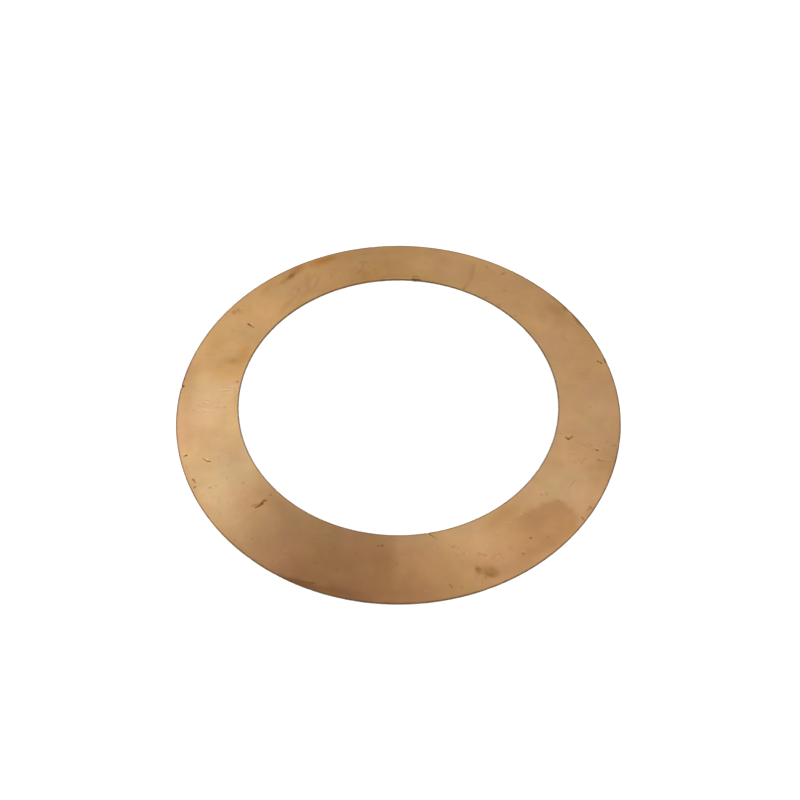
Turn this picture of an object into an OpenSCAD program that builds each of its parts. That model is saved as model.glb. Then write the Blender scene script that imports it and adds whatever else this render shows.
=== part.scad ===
// Flat thrust washer blanked from rolled bronze strip.
// One piece: a thin ring with two plain thrust faces, a bore and a rim.
// Millimetres. +Z is the ring's axis, and the ring lies on z = 0, centred on the origin.

/* [Ring] */
// Outside diameter
outer_d = 110; // [90:0.5:160]
// Bore diameter
bore_d = 80; // [40:0.5:88]
// Thickness of the strip
thickness = 0.4; // [0.3:0.05:2]

/* [Edges] */
// Roll-over radius that the punch leaves on the upper edges
roll_over = 0.08; // [0.02:0.01:0.12]
// Break left on the lower edges once the burr is stoned off
burr_break = 0.03; // [0.01:0.01:0.1]
// Straight steps that follow each roll-over arc
roll_steps = 4; // [2:1:8]

/* [Hidden] */
$fn = 180;
outer_r = outer_d / 2;
bore_r = bore_d / 2;
bronze = [0.74, 0.57, 0.38];

// Points of a quarter arc of radius r about c, from angle a0 to a1.
function arc(c, r, a0, a1, steps) =
    [for (i = [0 : steps])
        let (a = a0 + (a1 - a0) * i / steps)
        [c[0] + r * cos(a), c[1] + r * sin(a)]];

// Half section of the ring: bore wall on the left, rim on the right,
// rounded above by the punch and lightly broken below.
module section() {
    polygon(concat(
        [[bore_r + burr_break, 0], [outer_r - burr_break, 0], [outer_r, burr_break]],
        arc([outer_r - roll_over, thickness - roll_over], roll_over, 0, 90, roll_steps),
        arc([bore_r + roll_over, thickness - roll_over], roll_over, 90, 180, roll_steps),
        [[bore_r, burr_break]]
    ));
}

// The whole washer, turned from its section.
module thrust_washer() {
    color(bronze) rotate_extrude() section();
}

thrust_washer();
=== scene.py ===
"""Flat thrust washer blanked from rolled bronze strip: its worn surface, a pale floor and soft studio light.

Lengths in this file are in millimetres and angles in degrees, turned into metres where an object is made.
A place on the ring is given as (angle, radius): the angle runs from +X towards +Y.
"""

import math

import bpy
import numpy as np
from mathutils import Matrix, Vector


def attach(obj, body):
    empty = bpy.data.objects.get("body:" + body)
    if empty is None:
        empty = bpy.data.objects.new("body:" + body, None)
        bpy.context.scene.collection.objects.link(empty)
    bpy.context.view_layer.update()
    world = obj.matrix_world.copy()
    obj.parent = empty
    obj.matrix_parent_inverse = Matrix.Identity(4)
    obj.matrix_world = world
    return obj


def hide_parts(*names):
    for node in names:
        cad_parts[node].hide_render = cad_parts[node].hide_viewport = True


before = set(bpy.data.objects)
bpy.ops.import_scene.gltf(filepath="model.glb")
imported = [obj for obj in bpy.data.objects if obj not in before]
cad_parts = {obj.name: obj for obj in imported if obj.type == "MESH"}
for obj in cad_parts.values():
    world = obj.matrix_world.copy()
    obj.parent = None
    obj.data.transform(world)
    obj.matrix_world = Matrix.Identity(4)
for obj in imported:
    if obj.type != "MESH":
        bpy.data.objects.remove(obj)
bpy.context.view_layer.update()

MM = 0.001
scene = bpy.context.scene

# ---------------------------------------------------------------- sizes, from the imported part
cad = np.array([v.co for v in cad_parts["thrust_washer"].data.vertices], float) / MM
cad_r = np.hypot(cad[:, 0], cad[:, 1])
R_OUT, R_BORE, THICK = float(cad_r.max()), float(cad_r.min()), float(cad[:, 2].max())
ROLL = 0.08      # radius of the rolled-over upper edges
BREAK = 0.03     # broken lower edges

# ---------------------------------------------------------------- camera
CAM_AT = Vector((0.395, -3.628, THICK)) * MM
CAM_EL, CAM_DIST = math.radians(53.047), 160.04 * MM
cam_data = bpy.data.cameras.new("camera")
cam_data.sensor_width = 36.0
cam_data.lens = 28.902
cam_data.clip_start, cam_data.clip_end = 0.005, 50.0
camera = bpy.data.objects.new("camera", cam_data)
scene.collection.objects.link(camera)
cam_back = Vector((0.0, -math.cos(CAM_EL), math.sin(CAM_EL)))
camera.location = CAM_AT + cam_back * CAM_DIST
camera.rotation_mode = "QUATERNION"
camera.rotation_quaternion = (-cam_back).to_track_quat("-Z", "Y")
scene.camera = camera


# ---------------------------------------------------------------- small tools for fields over the ring
VIEW_F = cam_data.lens / cam_data.sensor_width * 800.0
VIEW_C = np.array(camera.location) / MM
VIEW_B = np.array(cam_back)
VIEW_R = np.array([1.0, 0.0, 0.0])
VIEW_U = np.cross(VIEW_B, VIEW_R)


def seen_at(x, y):
    """Where the picture shows points of the upper face, in its 800 by 800 pixels."""
    p = np.stack([x - VIEW_C[0], y - VIEW_C[1], np.full(np.shape(x), THICK - VIEW_C[2])], -1)
    d = -(p @ VIEW_B)
    return 400.0 + VIEW_F * (p @ VIEW_R) / d, 400.0 - VIEW_F * (p @ VIEW_U) / d


def on_face(u, v):
    """The point of the upper face, x and y in mm, that the picture shows at a pixel, and the pixels to a mm there."""
    ray = (u - 400.0) / VIEW_F * VIEW_R + (400.0 - v) / VIEW_F * VIEW_U - VIEW_B
    p = VIEW_C + ray * (THICK - VIEW_C[2]) / ray[2]
    return float(p[0]), float(p[1]), VIEW_F / float(-((p - VIEW_C) @ VIEW_B))


def smooth(lo, hi, x):
    t = np.clip((x - lo) / (hi - lo), 0.0, 1.0)
    return t * t * (3.0 - 2.0 * t)


def lattice(i, j, seed):
    n = (i.astype(np.uint64) * np.uint64(374761393) + j.astype(np.uint64) * np.uint64(668265263)
         + np.uint64(seed * 2654435761 % 4294967296)) & np.uint64(0xFFFFFFFF)
    n = ((n ^ (n >> np.uint64(13))) * np.uint64(1274126177)) & np.uint64(0xFFFFFFFF)
    n = ((n ^ (n >> np.uint64(15))) * np.uint64(2246822519)) & np.uint64(0xFFFFFFFF)
    return ((n ^ (n >> np.uint64(16))) & np.uint64(0xFFFF)).astype(float) / 65535.0


def noise(x, y, size, seed, octaves=3):
    """Smooth noise from 0 to 1, with features about size mm across."""
    total, weight, out = 0.0, 1.0, 0.0
    for k in range(octaves):
        u, v = x / size + 1000.0, y / size + 1000.0
        iu, iv = np.floor(u), np.floor(v)
        fu, fv = u - iu, v - iv
        fu, fv = fu * fu * (3 - 2 * fu), fv * fv * (3 - 2 * fv)
        iu, iv = iu.astype(np.int64), iv.astype(np.int64)
        a, b = lattice(iu, iv, seed + k), lattice(iu + 1, iv, seed + k)
        c, d = lattice(iu, iv + 1, seed + k), lattice(iu + 1, iv + 1, seed + k)
        out = out + weight * ((a * (1 - fu) + b * fu) * (1 - fv) + (c * (1 - fu) + d * fu) * fv)
        total, weight, size = total + weight, weight * 0.5, size * 0.5
    return out / total


def polar(angle, r):
    return r * math.cos(math.radians(angle)), r * math.sin(math.radians(angle))


class Field:
    """Masks over points x, y of the ring, in mm."""

    def __init__(self, x, y):
        self.x, self.y = x, y
        self.r = np.hypot(x, y)
        self.a = np.degrees(np.arctan2(y, x))
        self.u, self.v = seen_at(x, y)

    def turn(self, angle):
        """Signed angle from the given one, -180 to 180."""
        return (self.a - angle + 180.0) % 360.0 - 180.0

    def sector(self, start, full, out_full, end):
        """1 between two angles, with soft ends."""
        return smooth(start, full, self.a) * (1.0 - smooth(out_full, end, self.a))

    def patch(self, u, v, half_long, half_wide, tilt=0.0, soft=0.6, rag=0.3, grain=1.0, seed=1):
        """A ragged patch: its middle, half sizes and slope as the picture shows them, in pixels and degrees."""
        k = math.radians(tilt)
        du, dv = self.u - u, self.v - v
        p, q = du * math.cos(k) + dv * math.sin(k), -du * math.sin(k) + dv * math.cos(k)
        d = np.sqrt((p / half_long) ** 2 + (q / half_wide) ** 2)
        out, here = np.zeros(d.shape), d < 1.0 + soft + rag
        ragged = rag * 2.0 * (noise(self.x[here], self.y[here], grain, seed) - 0.5)
        out[here] = 1.0 - smooth(1.0 - soft, 1.0 + soft, d[here] + ragged)
        return out

    def away(self, points):
        """Distance in pixels to a line through points of the picture, and how far along it, 0 to 1."""
        lengths = [math.dist(p, q) for p, q in zip(points, points[1:])]
        best, where, done = np.full(self.u.shape, 1e9), np.zeros(self.u.shape), 0.0
        for (au, av), (bu, bv), n in zip(points, points[1:], lengths):
            h = np.clip(((self.u - au) * (bu - au) + (self.v - av) * (bv - av)) / (n * n), 0.0, 1.0)
            d = np.hypot(self.u - au - (bu - au) * h, self.v - av - (bv - av) * h)
            nearer = d < best
            best = np.where(nearer, d, best)
            where = np.where(nearer, (done + n * h) / sum(lengths), where)
            done += n
        return best, where

    def stroke(self, points, half, soft=0.8, taper=0.5):
        """A soft stroke through points of the picture, thinner at its ends."""
        d, t = self.away(points)
        width = half * (1.0 - taper * np.abs(2.0 * t - 1.0) ** 2)
        return 1.0 - smooth(width * (1.0 - soft), width * (1.0 + soft), d)

    def inside(self, points, soft, rag=0.0, grain=1.0, seed=1):
        """1 inside an outline of the picture, fading over soft pixels at its border."""
        d, _ = self.away(points + points[:1])
        odd = np.zeros(self.u.shape, bool)
        for (au, av), (bu, bv) in zip(points, points[1:] + points[:1]):
            crosses = (av > self.v) != (bv > self.v)
            with np.errstate(divide="ignore", invalid="ignore"):
                odd ^= crosses & (self.u < (bu - au) * (self.v - av) / (bv - av if bv != av else 1e-9) + au)
        d = np.where(odd, -d, d) + rag * 2.0 * (noise(self.x, self.y, grain, seed) - 0.5)
        return 1.0 - smooth(-soft, soft, d)


# ---------------------------------------------------------------- wear, and painted highlights beside it: where the marks are
# Fine dark marks, as the picture shows them in pixels: from, to, half width, darkness 0 to 1, depth of the dent in mm.
FINE = [
    (270.7, 495.2, 271.1, 495.4, 0.85, 0.44, 0.012), (185.6, 455.9, 186.6, 455.5, 0.84, 0.90, 0.010),
    (184.0, 456.8, 184.6, 456.6, 0.55, 0.45, 0.000), (193.0, 479.6, 193.9, 480.5, 0.72, 0.80, 0.012),
    (194.2, 481.0, 195.6, 483.2, 0.55, 0.55, 0.010), (194.7, 487.4, 195.4, 487.3, 0.68, 0.75, 0.012),
    (209.6, 488.0, 210.4, 487.8, 0.80, 0.35, 0.008), (381.7, 545.8, 382.3, 545.8, 0.90, 0.78, 0.012),
    (376.8, 545.9, 378.4, 545.9, 0.80, 0.45, 0.008), (429.0, 533.8, 432.0, 536.0, 0.60, 0.58, 0.012),
    (530.3, 537.9, 530.8, 538.2, 0.86, 0.64, 0.011), (523.0, 553.8, 523.5, 553.9, 0.88, 0.44, 0.012),
    (556.6, 433.2, 561.4, 434.2, 0.40, 0.30, 0.000), (582.6, 444.6, 584.3, 445.6, 0.62, 0.26, 0.000),
    (585.6, 445.4, 588.4, 447.8, 0.50, 0.20, 0.000), (588.6, 444.2, 592.2, 446.6, 0.50, 0.22, 0.000),
    (590.6, 449.9, 595.4, 449.5, 0.50, 0.20, 0.000), (596.2, 450.2, 597.6, 450.6, 0.68, 1.00, 0.012),
    (597.7, 459.4, 599.9, 460.8, 0.82, 0.42, 0.010), (599.9, 460.8, 605.5, 461.4, 0.60, 0.24, 0.006),
    (605.5, 461.4, 611.0, 462.6, 0.55, 0.18, 0.006), (597.4, 361.4, 598.6, 361.8, 0.80, 0.75, 0.011),
    (600.2, 362.7, 601.3, 363.3, 0.80, 0.90, 0.012), (568.4, 488.4, 575.2, 479.7, 0.45, 0.20, 0.006),
    (413.5, 276.6, 418.0, 276.7, 0.70, 0.36, 0.010), (412.5, 279.5, 419.5, 280.2, 1.00, 1.00, 0.000),
    (237.3, 381.8, 237.7, 381.8, 0.99, 0.60, 0.010), (224.2, 407.3, 224.8, 407.6, 1.15, 0.20, 0.004),
    (590.2, 507.9, 590.8, 507.5, 1.10, 0.42, 0.010), (586.5, 511.0, 590.0, 508.2, 0.40, 0.28, 0.000),
    (541.2, 321.7, 541.5, 321.9, 0.60, 0.20, 0.000), (543.5, 322.2, 543.8, 322.4, 0.60, 0.20, 0.000),
    (182.4, 386.2, 183.4, 386.5, 1.04, 1.00, 0.000), (184.2, 378.4, 184.7, 379.2, 0.77, 0.50, 0.000),
    (449.4, 584.2, 451.8, 587.2, 0.70, 0.46, 0.008), (451.9, 546.0, 452.2, 547.6, 0.62, 0.32, 0.004),
    (454.2, 545.2, 454.6, 547.6, 0.55, 0.38, 0.000), (478.6, 553.6, 480.0, 554.0, 1.10, 0.20, 0.000),
    (483.4, 554.6, 486.4, 555.4, 0.90, 0.22, 0.000), (494.0, 555.4, 497.0, 554.6, 0.80, 0.14, 0.000),
    (504.3, 290.5, 504.7, 290.5, 0.80, 0.38, 0.008), (485.8, 265.4, 488.0, 268.6, 0.50, 0.36, 0.008),
    (582.0, 373.0, 585.0, 374.0, 0.50, 0.15, 0.006), (535.0, 304.5, 540.0, 305.5, 0.40, 0.14, 0.000),
    (548.0, 306.0, 556.0, 307.5, 0.40, 0.14, 0.000), (287.0, 578.6, 294.0, 580.0, 0.80, 0.45, 0.000),
    (294.0, 580.0, 304.0, 581.9, 0.80, 0.55, 0.000), (304.0, 581.9, 314.4, 583.4, 0.85, 0.62, 0.000),
    (322.0, 588.0, 334.0, 590.6, 1.30, 0.28, 0.000), (300.0, 533.6, 300.6, 533.9, 1.20, 0.20, 0.000),
    (396.6, 563.6, 397.0, 564.2, 1.20, 0.16, 0.000), (541.4, 494.7, 541.8, 494.9, 0.90, 0.28, 0.000),
    (546.0, 494.4, 546.5, 494.6, 0.90, 0.20, 0.000), (547.4, 536.7, 548.2, 536.9, 1.50, 0.16, 0.000),
    (557.0, 500.2, 559.4, 500.8, 0.80, 0.20, 0.000), (252.2, 539.0, 252.8, 539.2, 1.10, 0.20, 0.000),
    (245.6, 536.4, 246.2, 536.8, 0.90, 0.16, 0.000), (218.0, 457.8, 218.5, 458.0, 0.70, 0.18, 0.000),
    (242.8, 482.8, 243.6, 483.6, 0.65, 0.26, 0.000), (227.8, 503.0, 228.6, 503.3, 0.70, 0.12, 0.000),
    (212.5, 497.0, 213.0, 497.4, 0.70, 0.12, 0.000), (330.6, 275.6, 331.2, 276.0, 0.80, 0.22, 0.000),
    (298.6, 287.9, 297.9, 291.5, 0.80, 0.14, 0.000), (612.6, 445.9, 615.4, 445.9, 1.00, 0.22, 0.000),
    (311.2, 565.3, 315.6, 558.4, 0.90, 0.12, 0.000), (334.8, 572.4, 337.4, 568.2, 0.90, 0.12, 0.000),
    (381.0, 277.6, 396.0, 277.0, 0.50, 0.18, 0.000),
    (396.0, 277.0, 412.6, 276.8, 0.50, 0.18, 0.000), (366.0, 279.4, 376.0, 278.2, 0.50, 0.12, 0.000),
    (232.6, 329.8, 234.4, 330.4, 0.60, 0.16, 0.000), (247.4, 536.3, 248.0, 536.9, 0.90, 0.16, 0.000),
    (515.0, 315.6, 515.8, 316.2, 0.80, 0.34, 0.000), (498.8, 304.2, 499.4, 304.8, 0.80, 0.34, 0.000),
    (485.6, 297.0, 486.2, 297.4, 0.80, 0.30, 0.000), (476.4, 568.8, 476.9, 569.6, 0.72, 0.50, 0.006),
    (479.4, 568.8, 479.8, 568.8, 0.70, 0.35, 0.006), (314.4, 562.4, 315.8, 563.4, 1.30, 0.24, 0.000),
    (335.8, 569.2, 337.8, 571.0, 1.40, 0.26, 0.000), (323.0, 534.2, 327.4, 534.9, 1.10, 0.24, 0.000),
    (601.5, 447.5, 604.5, 451.5, 0.40, 0.12, 0.000), (248.2, 323.9, 250.2, 325.2, 0.82, 0.95, 0.010),
    (250.2, 325.2, 253.6, 327.4, 0.60, 0.62, 0.008), (202.9, 458.9, 205.4, 460.6, 0.45, 0.56, 0.006),
    (205.4, 460.6, 207.8, 461.6, 0.50, 0.68, 0.010), (207.8, 461.6, 210.2, 461.9, 0.62, 0.78, 0.010),
    (259.4, 505.8, 263.0, 502.8, 1.35, 0.86, 0.012), (261.4, 504.4, 262.2, 503.8, 1.15, 1.00, 0.004),
    (255.8, 507.6, 259.4, 506.6, 0.80, 0.84, 0.010), (263.8, 501.0, 266.3, 500.7, 0.90, 0.84, 0.008),
    (252.6, 506.6, 255.2, 504.6, 0.65, 0.48, 0.004), (255.6, 505.6, 258.0, 503.6, 0.45, 0.36, 0.000),
    (432.0, 535.8, 436.2, 539.0, 0.45, 0.44, 0.008), (502.6, 273.9, 504.4, 273.2, 1.25, 0.34, 0.000),
    (581.8, 517.6, 583.0, 518.6, 0.65, 0.66, 0.008), (583.4, 519.2, 584.6, 520.4, 0.55, 0.54, 0.000),
    (565.8, 437.6, 568.2, 439.2, 0.85, 0.70, 0.010), (568.2, 439.2, 572.6, 436.8, 0.72, 0.64, 0.008),
    (568.0, 439.1, 568.6, 439.3, 1.00, 0.90, 0.008), (603.9, 358.8, 605.4, 362.6, 0.60, 0.85, 0.000),
    (203.5, 397.4, 205.5, 397.4, 0.45, 0.10, 0.000), (206.5, 398.7, 208.0, 398.7, 0.45, 0.10, 0.000),
    (203.0, 400.0, 209.0, 401.3, 0.50, 0.12, 0.000), (202.5, 402.6, 205.0, 402.7, 0.45, 0.09, 0.000),
    (197.0, 405.2, 201.0, 406.5, 0.50, 0.12, 0.000), (202.5, 405.6, 204.5, 405.6, 0.45, 0.10, 0.000),
    (195.0, 408.1, 199.0, 408.3, 0.45, 0.08, 0.000), (192.0, 409.4, 197.0, 410.6, 0.48, 0.11, 0.000),
    (216.0, 406.7, 220.0, 406.7, 0.50, 0.12, 0.000), (219.5, 391.5, 227.0, 391.4, 0.45, 0.09, 0.000),
    (228.0, 390.5, 231.0, 390.4, 0.50, 0.14, 0.000), (500.4, 275.6, 500.8, 275.4, 0.90, 0.12, 0.000),
    (615.9, 444.5, 616.4, 444.8, 0.60, 0.22, 0.000), (575.2, 461.4, 575.8, 462.0, 0.80, 0.14, 0.000),
    (577.8, 459.4, 578.4, 459.6, 0.70, 0.14, 0.000), (580.4, 462.4, 581.8, 463.6, 0.70, 0.14, 0.000),
    (572.2, 454.5, 573.4, 454.6, 0.60, 0.20, 0.000), (575.4, 453.0, 576.2, 453.4, 0.60, 0.14, 0.000),
    (584.4, 459.3, 585.0, 459.5, 1.00, 0.14, 0.000), (606.1, 442.0, 606.5, 442.6, 0.85, 0.18, 0.000),
    (457.9, 547.2, 458.3, 549.0, 0.62, 0.18, 0.000), (448.8, 543.8, 449.4, 545.6, 0.60, 0.16, 0.000),
    (463.8, 554.6, 464.4, 554.6, 0.80, 0.12, 0.000), (186.2, 466.6, 187.0, 468.4, 0.55, 0.14, 0.000),
    (193.6, 467.0, 193.9, 471.0, 0.50, 0.14, 0.000), (219.0, 496.0, 218.6, 499.5, 0.50, 0.12, 0.000),
    (217.6, 502.4, 219.4, 502.2, 0.55, 0.15, 0.000), (226.6, 477.2, 227.4, 479.4, 0.55, 0.14, 0.000),
    (215.6, 485.4, 216.6, 486.0, 0.60, 0.16, 0.000), (228.4, 453.6, 228.9, 454.0, 0.60, 0.14, 0.000),
    (220.4, 513.0, 220.2, 517.0, 0.60, 0.12, 0.000), (456.0, 555.0, 458.4, 555.2, 1.20, 0.11, 0.000),
    (463.0, 561.6, 463.6, 562.4, 0.90, 0.11, 0.000), (492.0, 558.6, 494.5, 556.4, 0.70, 0.13, 0.000),
    (501.4, 555.4, 503.6, 559.4, 0.60, 0.13, 0.000), (475.8, 578.0, 476.6, 578.0, 0.90, 0.13, 0.000),
    (485.4, 577.6, 486.4, 578.2, 1.00, 0.18, 0.000), (509.0, 547.6, 511.0, 548.0, 1.80, 0.09, 0.000),
    (328.4, 536.0, 330.2, 536.3, 1.00, 0.34, 0.000),
]
# Painted highlights beside the marks, in the same way: from, to, half width, brightness 0 to 1.
PAINTED_HIGHLIGHTS = [
    (251.0, 322.8, 252.8, 323.9, 0.55, 0.39), (257.6, 504.6, 259.6, 502.9, 0.70, 0.32),
    (184.0, 454.5, 184.8, 454.3, 0.60, 0.39), (221.9, 405.6, 222.3, 405.8, 0.80, 0.44),
    (522.6, 551.8, 523.2, 551.8, 0.90, 0.28), (529.6, 536.3, 530.1, 536.3, 0.70, 0.24),
    (565.8, 440.2, 568.2, 441.0, 0.55, 0.24), (303.0, 580.4, 311.5, 581.6, 0.40, 0.11),
    (519.5, 515.2, 522.6, 513.4, 0.60, 0.32), (508.0, 522.4, 511.4, 521.4, 0.55, 0.32),
    (541.8, 492.2, 542.4, 492.4, 0.80, 0.32), (534.8, 505.2, 537.0, 504.2, 0.50, 0.21),
    (600.2, 457.6, 601.4, 458.4, 0.55, 0.24), (239.6, 308.4, 240.8, 308.0, 0.60, 0.24),
    (384.0, 278.7, 396.0, 278.2, 0.50, 0.24), (396.0, 278.2, 412.0, 278.3, 0.50, 0.24),
    (316.0, 541.5, 323.5, 541.3, 0.45, 0.18), (278.5, 557.2, 284.5, 556.8, 0.45, 0.20),
    (402.0, 558.0, 409.0, 558.2, 0.50, 0.18), (398.5, 571.2, 406.5, 571.6, 0.50, 0.17),
    (512.0, 534.2, 515.6, 534.0, 0.50, 0.17), (486.8, 534.2, 489.8, 534.2, 0.50, 0.17),
    (541.2, 492.3, 542.2, 492.5, 0.70, 0.25), (467.0, 554.0, 468.0, 554.4, 0.60, 0.17),
    (485.4, 546.0, 486.8, 545.4, 0.55, 0.15), (211.4, 418.4, 213.2, 424.2, 0.45, 0.18),
    (236.4, 488.0, 237.4, 487.4, 0.60, 0.18), (222.4, 497.4, 224.0, 496.6, 0.60, 0.18),
    (233.0, 513.0, 234.2, 512.4, 0.60, 0.17), (246.4, 521.6, 247.6, 521.0, 0.60, 0.15),
    (583.4, 519.0, 585.6, 521.4, 0.45, 0.21), (206.2, 459.0, 207.6, 459.5, 0.60, 0.98),
    (203.8, 461.0, 204.8, 461.3, 0.45, 0.59), (208.9, 463.2, 209.9, 463.4, 0.50, 0.65),
    (220.0, 389.7, 233.0, 389.3, 0.50, 0.54), (227.0, 392.4, 232.0, 392.1, 0.55, 0.58),
    (231.5, 386.3, 236.0, 386.0, 0.90, 0.48), (203.5, 398.5, 206.0, 398.4, 0.50, 0.54),
    (206.5, 397.3, 208.5, 397.2, 0.50, 0.51), (204.0, 401.4, 208.6, 402.6, 0.55, 0.68),
    (199.0, 402.4, 201.2, 402.5, 0.50, 0.37), (200.0, 405.2, 201.4, 405.3, 0.45, 0.34),
    (195.0, 406.7, 198.0, 406.6, 0.50, 0.41), (191.0, 408.5, 193.0, 408.4, 0.45, 0.31),
    (195.0, 409.3, 199.5, 410.5, 0.55, 0.61), (203.0, 409.2, 206.0, 409.3, 0.55, 0.58),
    (206.0, 410.2, 209.0, 410.4, 0.60, 0.68), (210.0, 409.5, 213.0, 409.5, 0.50, 0.44),
    (204.0, 414.5, 210.0, 414.4, 0.45, 0.27), (215.0, 405.4, 219.0, 405.4, 0.50, 0.41),
    (577.8, 462.0, 578.6, 462.2, 0.80, 0.20), (574.0, 453.2, 574.6, 453.0, 0.60, 0.18),
    (604.5, 441.4, 605.0, 441.8, 0.60, 0.18), (597.8, 457.2, 598.4, 457.6, 0.70, 0.20),
    (617.2, 444.3, 617.6, 444.5, 0.55, 0.45), (466.2, 553.9, 467.0, 554.2, 0.80, 0.28),
    (209.0, 484.2, 209.7, 484.9, 0.60, 0.30), (237.0, 494.6, 238.6, 495.8, 0.60, 0.18),
    (225.8, 476.0, 226.6, 476.6, 0.60, 0.20), (457.6, 551.2, 458.8, 552.0, 0.90, 0.18),
    (482.0, 550.4, 483.4, 549.6, 0.70, 0.15), (485.6, 545.8, 487.2, 544.6, 0.90, 0.20),
]
# Creases: the fold as the picture shows it, half width in pixels, depth of the groove and height of the ridge beside it in mm.
CREASES = [
    ([(296.0, 579.6), (302.0, 581.4), (308.0, 582.3), (314.2, 583.6)], 1.3, 0.004, 0.000),
    ([(318.0, 586.4), (330.0, 589.6), (345.0, 592.2), (360.0, 594.0)], 1.6, 0.003, 0.000),
    ([(474.2, 264.5), (472.6, 271.0), (471.0, 278.5), (467.5, 284.5), (463.8, 289.0)], 2.4, 0.004, 0.002),
]
# Nicks in the two edges: rim or bore, angle, half width along the edge, depth into the metal (negative stands proud).
NICKS = [
    ("rim", 179.4, 0.55, 0.16), ("rim", -41.0, 0.45, 0.04), ("rim", -47.2, 0.40, 0.05), ("rim", -17.6, 0.50, 0.04),
    ("rim", 8.1, 0.45, 0.05), ("rim", -124.6, 0.60, 0.04), ("rim", -152.4, 0.40, 0.05), ("rim", 31.0, 0.90, 0.03),
    ("rim", 148.6, 0.45, 0.05), ("rim", -70.4, 0.45, 0.05), ("rim", 98.2, 0.50, 0.05),
    ("bore", 83.2, 0.60, -0.16), ("bore", -80.9, 0.40, 0.07), ("bore", -133.0, 0.35, 0.05), ("bore", 176.6, 0.40, 0.05),
    ("bore", -36.0, 0.35, 0.05), ("bore", 22.0, 0.45, 0.05),
]


def edge_shift(angle, where):
    """How far the edge is cut in at each angle, in mm: nicks on a very slightly uneven sheared edge."""
    rad = R_OUT if where == "rim" else R_BORE
    x, y = rad * np.cos(np.radians(angle)), rad * np.sin(np.radians(angle))
    out = 0.030 * (noise(x, y, 2.2, 71 if where == "rim" else 83) - 0.5)
    for side, a, half, depth in NICKS:
        if side == where:
            along = np.radians((angle - a + 180.0) % 360.0 - 180.0) * rad
            out = out + depth * np.exp(-(along / half) ** 2 * 2.0)
    return out


def lift(x, y):
    """How far the sheet stands off a flat surface: it is nearly flat and rests on three low places."""
    a, r = np.arctan2(y, x), np.hypot(x, y)
    w = 0.045 * (1.0 + np.cos(3.0 * a + 0.9)) + 0.030 * (noise(x, y, 26.0, 5, 2))
    return w + 0.010 * (r - R_BORE) / (R_OUT - R_BORE)


def relief(f):
    """Height of dents, lips and creases on the upper face, in mm."""
    z = 0.005 * (noise(f.x, f.y, 5.0, 17, 2) - 0.5)
    uneven = 0.8 + 0.4 * noise(f.x, f.y, 0.6, 31, 2)
    for u0, v0, u1, v1, half, dark, depth in FINE:
        if depth:
            d, t = f.away([(u0, v0), (u1, v1)])
            w = max(half, 0.85) * uneven
            z = z - depth * np.exp(-(d / w) ** 2 * 1.2) + 0.12 * depth * np.exp(-((d - 2.2 * w) / w) ** 2)
    for points, half, depth, ridge in CREASES:
        d, t = f.away(points)
        ends = 1.0 - np.abs(2.0 * t - 1.0) ** 3
        z = z - ends * depth * np.exp(-(d / half) ** 2) + ends * ridge * np.exp(-((d - 2.0 * half) / half) ** 2)
    return z


# ---------------------------------------------------------------- the washer's mesh
AROUND = 1440
TOP_RINGS, BOTTOM_RINGS = 50, 6


def section():
    """The ring's section as (kind, radius, height): the upper face outwards, the rim down, the lower face inwards, the bore up."""
    out = []
    first, last = R_BORE + ROLL, R_OUT - ROLL
    inner = [first, first + 0.10, first + 0.25]
    outer = [last - 0.25, last - 0.10, last]
    middle = list(np.linspace(inner[-1], outer[0], TOP_RINGS - 4))[1:-1]
    out += [("top", r, THICK) for r in inner + middle + outer]
    for k in (30.0, 60.0, 90.0):
        s, c = math.sin(math.radians(k)), math.cos(math.radians(k))
        out.append(("rim", last + ROLL * s, THICK - ROLL + ROLL * c))
    out += [("rim", R_OUT, 0.17), ("rim", R_OUT, BREAK)]
    out += [("bottom", r, 0.0) for r in np.linspace(R_OUT - BREAK, R_BORE + BREAK, BOTTOM_RINGS)]
    out += [("bore", R_BORE, BREAK), ("bore", R_BORE, 0.17)]
    for k in (90.0, 60.0, 30.0):
        s, c = math.sin(math.radians(k)), math.cos(math.radians(k))
        out.append(("bore", first - ROLL * s, THICK - ROLL + ROLL * c))
    return out


SECTION = section()
LOOPS = len(SECTION)
angles = np.arange(AROUND) * (360.0 / AROUND)
ca, sa = np.cos(np.radians(angles)), np.sin(np.radians(angles))
rim_cut, bore_cut = edge_shift(angles, "rim"), edge_shift(angles, "bore")

verts = np.zeros((LOOPS, AROUND, 3))
for j, (kind, r, z) in enumerate(SECTION):
    # the cut of a nick fades over about a millimetre of metal
    rr = r - rim_cut * np.exp(-((R_OUT - r) / 0.45) ** 2) + bore_cut * np.exp(-((r - R_BORE) / 0.45) ** 2)
    x, y = rr * ca, rr * sa
    h = z + lift(x, y)
    if kind == "top":
        f = Field(x, y)
        edge = min(r - R_BORE, R_OUT - r)
        h = h + relief(f) * float(smooth(0.02, 0.35, np.array(edge)))
    if kind in ("rim", "bore"):
        # sheared wall: a smooth upper band above a torn lower one
        torn = float(smooth(0.24, 0.12, np.array(z))) * float(smooth(0.0, 0.03, np.array(z)))
        rough = 0.020 * torn * (noise(angles * 0.9, np.full(AROUND, z * 30.0), 0.8, 91 if kind == "rim" else 97, 2) - 0.5)
        x, y = x + rough * ca, y + rough * sa
    verts[j] = np.stack([x, y, h], -1)
verts[..., 2] -= verts[..., 2].min()

flat = verts.reshape(-1, 3)
j, i = np.meshgrid(np.arange(LOOPS), np.arange(AROUND), indexing="ij")
jn, im = (j + 1) % LOOPS, (i + 1) % AROUND
quads = np.stack([j * AROUND + i, jn * AROUND + i, jn * AROUND + im, j * AROUND + im], -1).reshape(-1, 4)

mesh = bpy.data.meshes.new("washer")
mesh.from_pydata((flat * MM).tolist(), [], quads.tolist())
mesh.update()
mesh.polygons.foreach_set("use_smooth", np.ones(len(quads), bool))

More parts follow.
